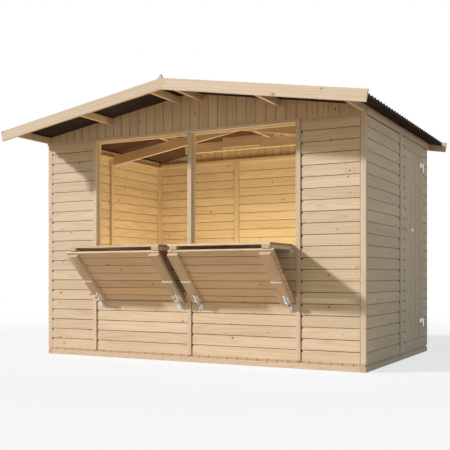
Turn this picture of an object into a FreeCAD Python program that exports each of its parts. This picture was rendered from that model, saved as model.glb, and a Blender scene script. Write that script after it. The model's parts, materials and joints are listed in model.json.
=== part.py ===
import FreeCAD, Part
import math
import os

Vec = FreeCAD.Vector

# Wooden kiosk with two serving windows, a side door and a corrugated roof.
# Millimetres. X runs along the front, -Y is the front, +Z is up.
# The origin lies on the ground at the middle of the floor plan.

# Front wall, from the middle post out to the corner
window_width = 940.0
post_width = 36.0
side_panel_width = 476.0
corner_strip_width = 45.0
post_proud = 9.0
stop_lap = 14.0
stop_depth = 27.0

# Right wall, from the front corner to the back corner
front_panel_length = 912.0
cover_strip_width = 70.0
narrow_panel_length = 120.0
front_jamb_width = 78.0
door_gap = 5.0
door_width = 480.0
back_jamb_width = 28.0
back_panel_length = 172.0

# Board rows and wall thickness
board_cover = 88.6
board_rows = 21
top_row_extra = 9.4
board_thick = 19.0
joint_gap = 1.0
seat_gap = 0.3
cut_margin = 1.0

# Base
bearer_height = 42.0
bearer_width = 45.0
bearer_count = 5
floor_thick = 18.0
floor_recess = 10.0

# Inner framing
stud_width = 45.0
stud_depth = 28.0
plate_width = 45.0
plate_height = 18.0
back_middle_panel = 1010.0
cover_strip_proud = 8.0
gable_rail_height = 32.0

# Window frame
sill_rows = 10
sill_height = 12.0
sill_proud = 6.0
head_height = 27.0

# Roof
roof_pitch = 9.35
purlin_thick = 27.0
purlin_height = 54.0
purlin_inset = 0.5
ridge_purlin_x = 110.0
front_overhang = 445.0
back_overhang = 150.0
side_overhang = 155.0
eaves_drip = 12.0
wave_pitch = 72.0
wave_height = 22.0
wave_facets = 8
sheet_thick = 3.0
ridge_slot = 12.0
cap_wing = 145.0
cap_thick = 3.0
cap_roll_radius = 26.0
cap_roll_rise = 16.0
barge_thick = 19.0
barge_height = 88.0
barge_rise = 31.5
beak_rise = 29.0
beak_run = 30.0
beak_nose = 36.0
gable_thick = 16.0
eaves_rail_thick = 10.0
eaves_rail_height = 42.0
eaves_rail_lap = 15.0

# Roof truss at mid depth
truss_thick = 27.0
rafter_height = 95.0
tie_height = 90.0
tie_drop = 27.0
tie_overlap = 90.0
splice_width = 386.0
splice_height = 95.0
splice_rise = 25.0
splice_thick = 15.0

# Side door
under_door_height = 81.0
over_door_height = 115.0
door_thick = 19.0
jamb_depth = 45.0
ledge_width = 88.0
ledge_thick = 19.0
ledge_inset = 100.0
hinge_knuckle_radius = 9.0
hinge_height = 76.0
hinge_leaf_length = 76.0
hinge_leaf_thick = 3.0
hinge_top_inset = 58.0
hinge_low_inset = 100.0
knob_radius = 15.0
knob_stem_radius = 7.0
knob_length = 24.0
knob_chamfer = 5.0
knob_standoff = 11.0
knob_setback = 27.0
knob_height = 969.0

# Folding counters on leaning braces
counter_reach = 420.0
counter_thick = 16.0
counter_over_sill = 5.0
left_near_gap = 17.0
right_near_gap = 27.0
counter_far_gap = 30.0
brace_far_gap = 2.0
counter_batten_width = 65.0
counter_batten_thick = 28.0
counter_batten_far_inset = 5.0
right_batten_near_inset = 19.0
left_batten_near_inset = 5.0
brace_angle = 45.8
brace_foot_gap = 3.3
brace_thick = 18.0
brace_setback = 2.0
brace_batten_width = 94.0
brace_batten_thick = 28.0
brace_batten_far_inset = 22.0
brace_batten_drop = 16.0

# Steel fittings of the counters
wall_hinge_height = 25.0
wall_hinge_reach = 45.0
fitting_thick = 2.5
wall_hinge_knuckle = 5.0
strap_width = 14.0
strap_height = 268.0
bolt_radius = 7.0
bolt_plate_width = 38.0
bolt_plate_start = 18.0
bolt_plate_length = 75.0
bolt_tail = 80.0
bolt_head = 14.0
bolt_knob_radius = 5.0
bolt_knob_length = 16.0
bolt_shift = 18.0

# Places worked out from the sizes above
half_w = corner_strip_width + side_panel_width + 1.5 * post_width + window_width
frame_start = front_panel_length + cover_strip_width + narrow_panel_length
door_start = frame_start + front_jamb_width + door_gap
frame_end = door_start + door_width + door_gap + back_jamb_width
kiosk_depth = frame_end + back_panel_length
front = -kiosk_depth / 2
back = kiosk_depth / 2
inner_x = half_w - board_thick
base_top = bearer_height + floor_thick
wall_top = base_top + board_rows * board_cover + top_row_extra
sill_z = base_top + sill_rows * board_cover
plate_z = wall_top - plate_height
slope = math.tan(math.radians(roof_pitch))
pitch = math.radians(roof_pitch)
eaves_purlin_x = half_w - purlin_inset - purlin_thick / 2
middle_purlin_x = (eaves_purlin_x + ridge_purlin_x) / 2
roof_peak = wall_top + purlin_height + slope * eaves_purlin_x
barge_peak = roof_peak + barge_rise
roof_front = front - front_overhang
roof_back = back + back_overhang
barge_end = half_w + side_overhang
post_step = window_width + post_width
post_edge = post_step + post_width / 2
window_start = post_width / 2
head_z = wall_top - head_height
door_y0 = front + door_start
door_y1 = door_y0 + door_width
door_bottom = base_top + under_door_height + door_gap
door_top = wall_top - over_door_height - door_gap
counter_top = sill_z + sill_height + counter_over_sill

os.makedirs("parts", exist_ok=True)


def box(x0, x1, y0, y1, z0, z1):
    return Part.makeBox(x1 - x0, y1 - y0, z1 - z0, Vec(x0, y0, z0))


def prism_xz(points, y0, y1):
    wire = Part.makePolygon([Vec(x, y0, z) for x, z in points + points[:1]])
    return Part.Face(wire).extrude(Vec(0, y1 - y0, 0))


def mirror_x(shape):
    return shape.mirror(Vec(0, 0, 0), Vec(1, 0, 0))


def save(name, *solids):
    shape = solids[0] if len(solids) == 1 else Part.makeCompound(list(solids))
    shape.exportStep("parts/" + name + ".step")


def roof_z(x):
    return roof_peak - slope * abs(x)


def base():
    # Two rims run from front to back under the side walls, bearers lie between
    rim = box(half_w - bearer_width, half_w, front, back, 0, bearer_height)
    save("floor_rims", rim, mirror_x(rim))
    reach = half_w - bearer_width
    step = (kiosk_depth - bearer_width) / (bearer_count - 1)
    bearers = []
    for i in range(bearer_count):
        y = front + i * step
        bearers.append(box(-reach, reach, y, y + bearer_width, 0, bearer_height))
    save("floor_bearers", *bearers)
    side = half_w - floor_recess
    save("floor", box(-side, side, front, back, bearer_height, base_top))


def front_post(x):
    # A nose between the wall boards and a wider stop behind them, which the leaves close against
    face_in = front + board_thick
    half = post_width / 2
    nose = box(x - half, x + half, front - post_proud, face_in, base_top, head_z)
    stop = box(x - half - stop_lap, x + half + stop_lap, face_in, face_in + stop_depth,
               base_top, head_z - stop_lap)
    return nose.fuse(stop).removeSplitter()


def front_wall():
    face_in = front + board_thick
    outer = half_w - corner_strip_width - joint_gap
    side = box(post_edge + joint_gap, outer, front, face_in, base_top, head_z)
    save("front_wall_right", side)
    save("front_wall_left", mirror_x(side))
    top_rail = box(post_edge + joint_gap, outer, front, face_in, head_z, wall_top)
    save("front_top_rails", top_rail, mirror_x(top_rail))
    below = box(window_start + joint_gap, window_start + window_width - joint_gap,
                front, face_in, base_top, sill_z)
    save("front_wall_under_windows", below, mirror_x(below))
    posts = [front_post(x) for x in (-post_step, 0, post_step)]
    save("window_posts", *posts)
    head = box(-post_edge, post_edge, front - post_proud, face_in, head_z, wall_top)
    reach = post_edge + stop_lap
    head_stop = box(-reach, reach, face_in, face_in + stop_depth, head_z - stop_lap, wall_top)
    save("window_head_rail", head.fuse(head_stop).removeSplitter())
    sill = box(window_start, window_start + window_width, front - sill_proud,
               face_in + stop_depth, sill_z, sill_z + sill_height)
    sill = sill.cut(posts[1]).cut(posts[2])
    save("window_sills", sill, mirror_x(sill))


def corners():
    strips = []
    for y0 in (front, back - board_thick):
        strip = box(half_w - corner_strip_width, half_w, y0, y0 + board_thick,
                    base_top, wall_top)
        strips += [strip, mirror_x(strip)]
    save("corner_strips", *strips)


def side_panel(y0, y1, z0, z1):
    return box(inner_x, half_w, y0, y1, z0, z1)


def plain_walls():
    y1 = back - board_thick
    save("left_wall", mirror_x(side_panel(front + board_thick, y1, base_top, wall_top)))
    outer = half_w - corner_strip_width - joint_gap
    save("back_wall", box(-outer, outer, y1, back, base_top, wall_top))


def right_wall():
    frame_y0 = front + frame_start
    frame_y1 = front + frame_end
    save("right_wall_front", side_panel(front + board_thick, frame_y0, base_top, wall_top))
    save("right_wall_back", side_panel(frame_y1, back - board_thick, base_top, wall_top))
    low = door_bottom - door_gap
    high = door_top + door_gap
    save("right_wall_under_door", side_panel(frame_y0, frame_y1, base_top, low))
    save("right_wall_over_door", side_panel(frame_y0, frame_y1, high, wall_top))
    x0 = half_w - jamb_depth
    save("door_jambs", box(x0, half_w, frame_y0, door_y0 - door_gap, low, high),
         box(x0, half_w, door_y1 + door_gap, frame_y1, low, high))


def side_stud(middle):
    return box(inner_x - stud_depth, inner_x, middle - stud_width / 2,
               middle + stud_width / 2, base_top, plate_z)


def framing():
    # Studs stand inside the panel joints and corners, strips cover the joints outside
    y1 = back - board_thick
    strip_y = front + front_panel_length
    half_strip = cover_strip_width / 2
    joint_x = back_middle_panel / 2
    corner_ys = (front + board_thick + stud_width / 2, y1 - stud_width / 2)
    studs = [mirror_x(side_stud(0)), side_stud(strip_y + half_strip)]
    for y in corner_ys:
        studs += [side_stud(y), mirror_x(side_stud(y))]
    stud = box(joint_x - stud_width / 2, joint_x + stud_width / 2, y1 - stud_depth, y1,
               base_top, wall_top)
    studs += [stud, mirror_x(stud)]
    save("wall_studs", *studs)
    cover = box(joint_x - half_strip, joint_x + half_strip, back, back + cover_strip_proud,
                base_top, wall_top)
    side_cover = box(half_w, half_w + cover_strip_proud, -half_strip, half_strip,
                     base_top, wall_top - eaves_rail_lap)
    door_side_cover = side_cover.translated(Vec(0, strip_y + half_strip, 0))
    save("cover_strips", cover, mirror_x(cover), mirror_x(side_cover), door_side_cover)
    plate = box(inner_x - plate_width, inner_x, front + board_thick, y1, plate_z, wall_top)
    save("wall_plates", plate, mirror_x(plate))


def eaves_rails():
    low = wall_top - eaves_rail_lap
    rail = box(half_w, half_w + eaves_rail_thick, front, back, low, low + eaves_rail_height)
    save("eaves_rails", rail, mirror_x(rail))


def gables():
    reach = eaves_purlin_x - purlin_thick / 2 - joint_gap
    outline = [(-reach, wall_top), (reach, wall_top), (reach, roof_z(reach) - joint_gap),
               (0, roof_peak - joint_gap), (-reach, roof_z(reach) - joint_gap)]
    half = purlin_thick / 2 + joint_gap
    rails = []
    for name, y0, rail_y in (("front_gable", front, front + gable_thick),
                             ("back_gable", back - gable_thick,
                              back - gable_thick - stud_depth)):
        panel = prism_xz(outline, y0, y0 + gable_thick)
        for x in (ridge_purlin_x, middle_purlin_x):
            low = roof_z(x) - purlin_height - joint_gap
            notch = box(x - half, x + half, y0 - cut_margin, y0 + gable_thick + cut_margin,
                        low, roof_peak)
            panel = panel.cut(notch).cut(mirror_x(notch))
        save(name, panel)
        rails.append(box(-reach, reach, rail_y, rail_y + stud_depth,
                         wall_top, wall_top + gable_rail_height))
    save("gable_rails", *rails)


def purlin(x):
    x0 = x - purlin_thick / 2
    x1 = x + purlin_thick / 2
    low = roof_z(x) - purlin_height
    section = [(x0, low), (x1, low), (x1, roof_z(x1)), (x0, roof_z(x0))]
    return prism_xz(section, roof_front + barge_thick, roof_back - barge_thick)


def purlins():
    places = (("eaves", eaves_purlin_x), ("middle", middle_purlin_x), ("ridge", ridge_purlin_x))
    for name, x in places:
        bar = purlin(x)
        save(name + "_purlins", bar, mirror_x(bar))


def corrugated_sheet():
    # The waves run down the slope, so the section is drawn across the sheet
    length = roof_back - roof_front - 2 * barge_thick - 2 * joint_gap
    step = wave_pitch / wave_facets
    count = int(length / step)
    middle = (roof_front + roof_back) / 2
    amplitude = (wave_height - sheet_thick) / 2
    top = []
    bottom = []
    for i in range(count + 1):
        y = middle + (i - count / 2) * step
        wave = amplitude * math.cos(2 * math.pi * i / wave_facets)
        top.append(Vec(0, y, wave + sheet_thick / 2))
        bottom.append(Vec(0, y, wave - sheet_thick / 2))
    outline = Part.makePolygon(top + bottom[::-1] + top[:1])
    run = (barge_end + eaves_drip - ridge_slot) / math.cos(pitch)
    sheet = Part.Face(outline).extrude(Vec(run, 0, 0))
    sheet.rotate(Vec(0, 0, 0), Vec(0, 1, 0), roof_pitch)
    lift = (wave_height / 2 + seat_gap) / math.cos(pitch)
    sheet.translate(Vec(ridge_slot, 0, roof_z(ridge_slot) + lift))
    return sheet


def ridge_cap():
    # A folded cap: two flat wings and a rolled top, one even thickness
    crest = roof_peak + (wave_height + 2 * seat_gap) / math.cos(pitch)

    def outline(lift):
        radius = cap_roll_radius - cap_thick + lift
        base_z = crest + lift / math.cos(pitch)
        wing_x = cap_wing * math.cos(pitch)
        return wing_x, base_z - slope * wing_x, radius, base_z - slope * radius

    y0 = roof_front + barge_thick + joint_gap
    y1 = roof_back - barge_thick - joint_gap
    edges = []
    sections = (outline(0), outline(cap_thick))
    for wing_x, wing_z, roll_x, roll_z in sections:
        ends = [Vec(-wing_x, y0, wing_z), Vec(-roll_x, y0, roll_z),
                Vec(roll_x, y0, roll_z), Vec(wing_x, y0, wing_z)]
        top = Vec(0, y0, roll_z + cap_roll_rise)
        edges.append(Part.LineSegment(ends[0], ends[1]).toShape())
        edges.append(Part.Arc(ends[1], top, ends[2]).toShape())
        edges.append(Part.LineSegment(ends[2], ends[3]).toShape())
    for side in (-1, 1):
        low, high = [Vec(side * s[0], y0, s[1]) for s in sections]
        edges.append(Part.LineSegment(low, high).toShape())
    wire = Part.Wire(Part.__sortEdges__(edges))
    return Part.Face(wire).extrude(Vec(0, y1 - y0, 0))


def roof():
    sheet = corrugated_sheet()
    save("right_roof_sheet", sheet)
    save("left_roof_sheet", mirror_x(sheet))
    save("ridge_cap", ridge_cap())


def barges():
    # Square-cut ends; the left front board ends in a beak that the right one butts
    drop = barge_height / math.cos(pitch)
    top = (barge_end, barge_peak - slope * barge_end)
    bottom = (top[0] - barge_height * math.sin(pitch), top[1] - barge_height * math.cos(pitch))
    mitre = seat_gap / 2
    tip = (0, barge_peak + beak_rise)
    nose = (beak_nose, barge_peak - drop / 2)
    foot = (0, barge_peak - drop)
    plain = [(mitre, barge_peak), top, bottom, (mitre, barge_peak - drop)]
    beaked = [(-beak_run, barge_peak - slope * beak_run), tip, nose, foot,
              (-bottom[0], bottom[1]), (-top[0], top[1])]
    room = [(-cut_margin, tip[1]), (seat_gap, tip[1]), (nose[0] + seat_gap, nose[1]),
            (seat_gap, foot[1]), (-cut_margin, foot[1])]
    y0 = roof_front
    y1 = roof_front + barge_thick
    right = prism_xz(plain, y0, y1).cut(prism_xz(room, y0 - cut_margin, y1 + cut_margin))
    save("front_left_barge_board", prism_xz(beaked, y0, y1))
    save("front_right_barge_board", right)
    right = prism_xz(plain, roof_back - barge_thick, roof_back)
    save("back_barge_boards", right, mirror_x(right))


def truss():
    y0 = -truss_thick / 2
    y1 = truss_thick / 2
    inner = eaves_purlin_x - purlin_thick / 2 - joint_gap
    top_z = roof_peak - purlin_height - slope * purlin_thick / 2 - seat_gap
    low_z = top_z - rafter_height
    mitre = seat_gap / 2
    rafter = prism_xz([(mitre, top_z), (inner, top_z - slope * inner),
                       (inner, low_z - slope * inner), (mitre, low_z)], y0, y1)
    plate_seat = box(inner_x - plate_width - joint_gap, half_w, y0 - cut_margin,
                     y1 + cut_margin, 0, wall_top + joint_gap)
    rafter = rafter.cut(plate_seat)
    save("truss_rafters", rafter, mirror_x(rafter))
    tie_z = wall_top - tie_drop
    half = (low_z - tie_z - tie_height) / slope + tie_overlap
    save("truss_tie", box(-half, half, y1, y1 + truss_thick, tie_z, tie_z + tie_height))
    splice_z = tie_z + splice_rise
    save("truss_gusset", box(-splice_width / 2, splice_width / 2, y1 - splice_thick, y1,
                             splice_z, splice_z + splice_height))


def hinge_half(z0, z1, side, length):
    # One leaf and its share of the knuckle; the pin stands in the middle of the door gap
    pin_x = half_w + hinge_knuckle_radius
    pin_y = door_y1 + door_gap / 2
    knuckle = Part.makeCylinder(hinge_knuckle_radius, z1 - z0, Vec(pin_x, pin_y, z0))
    y0, y1 = sorted((pin_y, pin_y + side * length))
    leaf = box(half_w, half_w + hinge_leaf_thick, y0, y1, z0, z1)
    return knuckle.fuse(leaf).removeSplitter()


def door():
    inner = half_w - door_thick
    save("door_leaf", box(inner, half_w, door_y0, door_y1, door_bottom, door_top))
    y0 = door_y0 + ledge_thick
    y1 = door_y1 - ledge_thick
    ledges = []
    for z in (door_bottom + ledge_inset, door_top - ledge_inset - ledge_width):
        ledges.append(box(inner - ledge_thick, inner, y0, y1, z, z + ledge_width))
    save("door_ledges", *ledges)
    door_side = []
    wall_side = []
    for z in (door_bottom + hinge_low_inset, door_top - hinge_top_inset - hinge_height):
        middle = z + hinge_height / 2
        door_side.append(hinge_half(middle + seat_gap, z + hinge_height, -1, hinge_leaf_length))
        wall_side.append(hinge_half(z, middle - seat_gap, 1, back_jamb_width))
    save("door_hinge_leaves", *door_side)
    save("jamb_hinge_leaves", *wall_side)
    save("door_knob", knob())


def knob():
    # Turned about its own axis, which stands square on the door
    head = knob_standoff + knob_length
    edge = knob_radius - knob_chamfer
    profile = [(0, 0), (0, knob_stem_radius), (knob_standoff, knob_stem_radius),
               (knob_standoff, edge), (knob_standoff + knob_chamfer, knob_radius),
               (head - knob_chamfer, knob_radius), (head, edge), (head, 0), (0, 0)]
    seat = Vec(half_w, door_y0 + knob_setback, door_bottom + knob_height)
    wire = Part.makePolygon([seat + Vec(out, 0, radius) for out, radius in profile])
    return Part.Face(wire).revolve(seat, Vec(1, 0, 0), 360)


class Brace:
    # A leaf that stands with its foot at the wall boards and leans out under the counter
    lean = math.radians(brace_angle)
    length = (counter_reach - brace_setback - brace_thick * math.cos(lean)) / math.sin(lean)
    foot_y = front - brace_foot_gap
    top_z = counter_top - counter_thick - counter_batten_thick - seat_gap
    foot_z = top_z - length * math.cos(lean)

    def place(self, shape):
        # Drawn upright with its inner face at y 0, then leaned out about its foot
        shape.rotate(Vec(0, 0, 0), Vec(1, 0, 0), brace_angle)
        shape.translate(Vec(0, self.foot_y, self.foot_z))
        return shape


def bolt(brace, x):
    # A tower bolt on the brace: back plate, rod down to the wall and a small knob
    face = -brace_thick - brace_batten_thick
    axis_y = face - fitting_thick - bolt_radius
    plate = box(x - bolt_plate_width / 2, x + bolt_plate_width / 2, face - fitting_thick, face,
                bolt_plate_start, bolt_plate_start + bolt_plate_length)
    rod_top = bolt_plate_start + bolt_plate_length + bolt_head
    rod = Part.makeCylinder(bolt_radius, rod_top + bolt_tail, Vec(x, axis_y, -bolt_tail))
    knob = Part.makeCylinder(bolt_knob_radius, bolt_radius + bolt_knob_length,
                             Vec(x, axis_y, bolt_plate_start + bolt_plate_length / 2),
                             Vec(0, -1, 0))
    shape = brace.place(plate.fuse([rod, knob]))
    wall = box(x - bolt_plate_width, x + bolt_plate_width, front - seat_gap, back,
               0, counter_top)
    return shape.cut(wall).removeSplitter()


def wall_hinge(x0, x1, corner_z):
    # An angle of two leaves with its knuckle in the corner of wall and batten
    y = front - seat_gap
    z = corner_z - seat_gap
    upright = box(x0, x1, y - fitting_thick, y, z - wall_hinge_height, z)
    level = box(x0, x1, y - wall_hinge_reach, y, z - fitting_thick, z)
    knuckle = Part.makeCylinder(wall_hinge_knuckle, x1 - x0,
                                Vec(x0, y - wall_hinge_knuckle, z - wall_hinge_knuckle),
                                Vec(1, 0, 0))
    return upright.fuse([level, knuckle]).removeSplitter()


def counter_side(right):
    # Everything of one serving window's counter, drawn for the right and mirrored for the left
    near_inset = right_batten_near_inset if right else left_batten_near_inset
    near = window_start + (right_near_gap if right else left_near_gap)
    far = window_start + window_width - counter_far_gap
    brace_far = window_start + window_width - brace_far_gap
    leaf_y = front - sill_proud - seat_gap
    low = counter_top - counter_thick
    leaf = box(near, far, front - counter_reach, leaf_y, low, counter_top)
    battens = []
    hinges = []
    for x in (near + near_inset, far - counter_batten_far_inset - counter_batten_width):
        battens.append(box(x, x + counter_batten_width, front - counter_reach, leaf_y,
                           low - counter_batten_thick, low))
        hinges.append(wall_hinge(x, x + counter_batten_width, low - counter_batten_thick))
    brace = Brace()
    panel = brace.place(box(near, brace_far, -brace_thick, 0, 0, brace.length))
    slats = []
    straps = []
    bolts = []
    face = -brace_thick - brace_batten_thick
    for x in (near, brace_far - brace_batten_far_inset - brace_batten_width):
        x1 = x + brace_batten_width
        slats.append(brace.place(box(x, x1, face, -brace_thick, 0,
                                     brace.length - brace_batten_drop)))
        straps.append(brace.place(box(x, x1, face - fitting_thick, face,
                                      strap_height, strap_height + strap_width)))
        shift = bolt_shift if right else -bolt_shift
        bolts.append(bolt(brace, (x + x1) / 2 + shift))
    turned = [leaf, panel, battens, slats, hinges + straps + bolts]
    if not right:
        turned = [mirror_x(leaf), mirror_x(panel)] + [[mirror_x(s) for s in group]
                                                      for group in turned[2:]]
    return turned


def counters():
    right = counter_side(True)
    left = counter_side(False)
    save("right_counter", right[0])
    save("left_counter", left[0])
    save("right_counter_brace", right[1])
    save("left_counter_brace", left[1])
    save("counter_battens", *right[2], *left[2])
    save("brace_battens", *right[3], *left[3])
    save("counter_fittings", *right[4], *left[4])


base()
front_wall()
corners()
plain_walls()
right_wall()
framing()
eaves_rails()
gables()
purlins()
roof()
barges()
truss()
door()
counters()
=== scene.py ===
import bpy
import json
import math
import random
import numpy as np
from mathutils import Matrix, Vector

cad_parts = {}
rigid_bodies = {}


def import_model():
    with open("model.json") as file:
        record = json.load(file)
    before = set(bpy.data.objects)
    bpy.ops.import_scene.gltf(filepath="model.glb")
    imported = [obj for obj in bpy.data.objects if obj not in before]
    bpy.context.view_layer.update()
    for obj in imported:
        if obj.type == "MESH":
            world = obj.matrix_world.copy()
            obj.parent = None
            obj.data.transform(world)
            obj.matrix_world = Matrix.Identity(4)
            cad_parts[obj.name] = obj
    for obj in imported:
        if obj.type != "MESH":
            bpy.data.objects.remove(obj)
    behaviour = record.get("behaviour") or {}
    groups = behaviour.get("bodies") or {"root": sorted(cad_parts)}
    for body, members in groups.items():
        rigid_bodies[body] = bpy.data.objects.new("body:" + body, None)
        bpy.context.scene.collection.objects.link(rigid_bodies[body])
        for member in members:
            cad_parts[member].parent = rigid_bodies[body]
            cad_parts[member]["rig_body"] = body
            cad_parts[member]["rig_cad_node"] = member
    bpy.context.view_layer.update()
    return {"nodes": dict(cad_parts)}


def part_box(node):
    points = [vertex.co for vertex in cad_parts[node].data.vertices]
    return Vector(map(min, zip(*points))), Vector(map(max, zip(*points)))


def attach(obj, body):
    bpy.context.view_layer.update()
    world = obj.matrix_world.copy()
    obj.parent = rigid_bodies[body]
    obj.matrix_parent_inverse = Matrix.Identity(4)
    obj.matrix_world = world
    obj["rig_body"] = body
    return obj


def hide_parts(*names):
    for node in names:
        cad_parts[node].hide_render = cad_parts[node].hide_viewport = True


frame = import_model()
chance = random.Random(7)
tiny = 0.00001  # what lengths may differ by and still be the same
spare = 0.001  # how far a cutter reaches past what it cuts

print("kiosk: frame loaded")

# Camera: level, a little right of the front right corner, with the frame lifted
camera = {"place": (3.285, -6.462, 0.727), "turn": 28.11, "lens": 61.84, "shiftY": 0.11}


def addCamera():
    bpy.ops.object.camera_add(location=camera["place"],
                              rotation=(math.radians(90), 0, math.radians(camera["turn"])))
    cam = bpy.context.object
    cam.name = "photoCamera"
    cam.data.lens = camera["lens"]
    cam.data.shift_y = camera["shiftY"]
    bpy.context.scene.camera = cam


def rgb(red, green, blue):
    # A colour as read on screen, 0 to 255, to the linear values that shaders take
    def linear(value):
        value /= 255
        return value / 12.92 if value <= 0.04045 else ((value + 0.055) / 1.055) ** 2.4
    return (linear(red), linear(green), linear(blue), 1)


class NodeSheet:
    # A material's or the world's node tree, with short calls to add and join nodes
    def __init__(self, owner, output="ShaderNodeOutputMaterial",
                 shader="ShaderNodeBsdfPrincipled"):
        self.owner = owner
        owner.use_nodes = True
        self.tree = owner.node_tree
        self.tree.nodes.clear()
        self.output = self.add(output)
        self.shader = self.add(shader)
        self.join(self.shader, 0, self.output, "Surface")

    def add(self, kind, **settings):
        node = self.tree.nodes.new(kind)
        for key, value in settings.items():
            setattr(node, key, value)
        return node

    def join(self, source, sourceSocket, target, targetSocket):
        self.tree.links.new(source.outputs[sourceSocket], target.inputs[targetSocket])

    def feed(self, socket, value):
        # A number or colour is set on the socket, another node's output is linked to it
        if isinstance(value, (int, float, tuple)):
            socket.default_value = value
        else:
            self.tree.links.new(value, socket)

    def math(self, operation, first, second=None, clamp=False):
        node = self.add("ShaderNodeMath", operation=operation, use_clamp=clamp)
        self.feed(node.inputs[0], first)
        if second is not None:
            self.feed(node.inputs[1], second)
        return node.outputs[0]

    def times(self, first, second):
        return self.math("MULTIPLY", first, second)

    def plus(self, first, second, clamp=False):
        return self.math("ADD", first, second, clamp)

    def combine(self, x, y, z=0.0):
        node = self.add("ShaderNodeCombineXYZ")
        for index, value in enumerate((x, y, z)):
            self.feed(node.inputs[index], value)
        return node.outputs[0]

    def split(self, vector):
        node = self.add("ShaderNodeSeparateXYZ")
        self.feed(node.inputs[0], vector)
        return list(node.outputs)

    def attribute(self, name):
        return self.add("ShaderNodeAttribute", attribute_name=name).outputs["Fac"]

    def place(self, kind="Object"):
        return self.add("ShaderNodeTexCoord").outputs[kind]

    def noise(self, vector, scale=1.0, detail=2.0, rough=0.5):
        node = self.add("ShaderNodeTexNoise")
        for name, value in (("Scale", scale), ("Detail", detail), ("Roughness", rough),
                            ("Vector", vector)):
            self.feed(node.inputs[name], value)
        return node.outputs[0]

    def span(self, value, low, high, toLow=0.0, toHigh=1.0):
        node = self.add("ShaderNodeMapRange")
        for index, number in enumerate((value, low, high, toLow, toHigh)):
            self.feed(node.inputs[index], number)
        return node.outputs[0]

    def blend(self, factor, first, second, mode="MIX"):
        node = self.add("ShaderNodeMix", data_type="RGBA", blend_type=mode)
        for index, value in ((0, factor), (6, first), (7, second)):
            self.feed(node.inputs[index], value)
        return node.outputs[2]

    def bump(self, height, strength, distance):
        node = self.add("ShaderNodeBump")
        for name, value in (("Strength", strength), ("Distance", distance), ("Height", height)):
            self.feed(node.inputs[name], value)
        self.join(node, "Normal", self.shader, "Normal")

    def paint(self, color, rough):
        self.feed(self.shader.inputs["Base Color"], color)
        self.feed(self.shader.inputs["Roughness"], rough)

    def seenRays(self):
        # One where the camera, a gloss or a see-through ray looks, nought for bounced light
        rays = self.add("ShaderNodeLightPath").outputs
        seen = rays["Is Camera Ray"]
        for name in ("Is Glossy Ray", "Is Transmission Ray"):
            seen = self.math("MAXIMUM", seen, rays[name])
        return seen

    def mixShaders(self, factor, first, second):
        node = self.add("ShaderNodeMixShader")
        for index, value in enumerate((factor, first, second)):
            self.feed(node.inputs[index], value)
        self.join(node, 0, self.output, "Surface")


# Planed spruce: pale early wood, deeper late wood, share of places without a knot
wood = {
    "walls": {"pale": rgb(233, 210, 180), "deep": rgb(213, 181, 143), "noKnot": 0.55},
    "timber": {"pale": rgb(227, 205, 178), "deep": rgb(209, 181, 147), "noKnot": 0.72},
    "floor": {"pale": rgb(226, 198, 165), "deep": rgb(200, 162, 122), "noKnot": 0.55},
    "knot": rgb(150, 100, 62), "knotRim": rgb(98, 62, 38), "knotSize": (0.002, 0.0074),
    "cellLength": 0.36, "cellWidth": 0.09, "cellSquash": 0.72,
    "ringsPerMetre": 34.0, "ringBend": 11.0, "ringDepth": 0.42, "fibreDepth": 0.24,
    "cloudDepth": 0.3, "toneSpan": (0.92, 1.05), "roughSpan": (0.5, 0.72),
    # The joint colour and its share below are painted shade for joints, hollows and shaded ends
    "endGrain": rgb(206, 170, 132), "jointShade": rgb(88, 52, 28), "jointShadeShare": 0.9,
}


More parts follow.
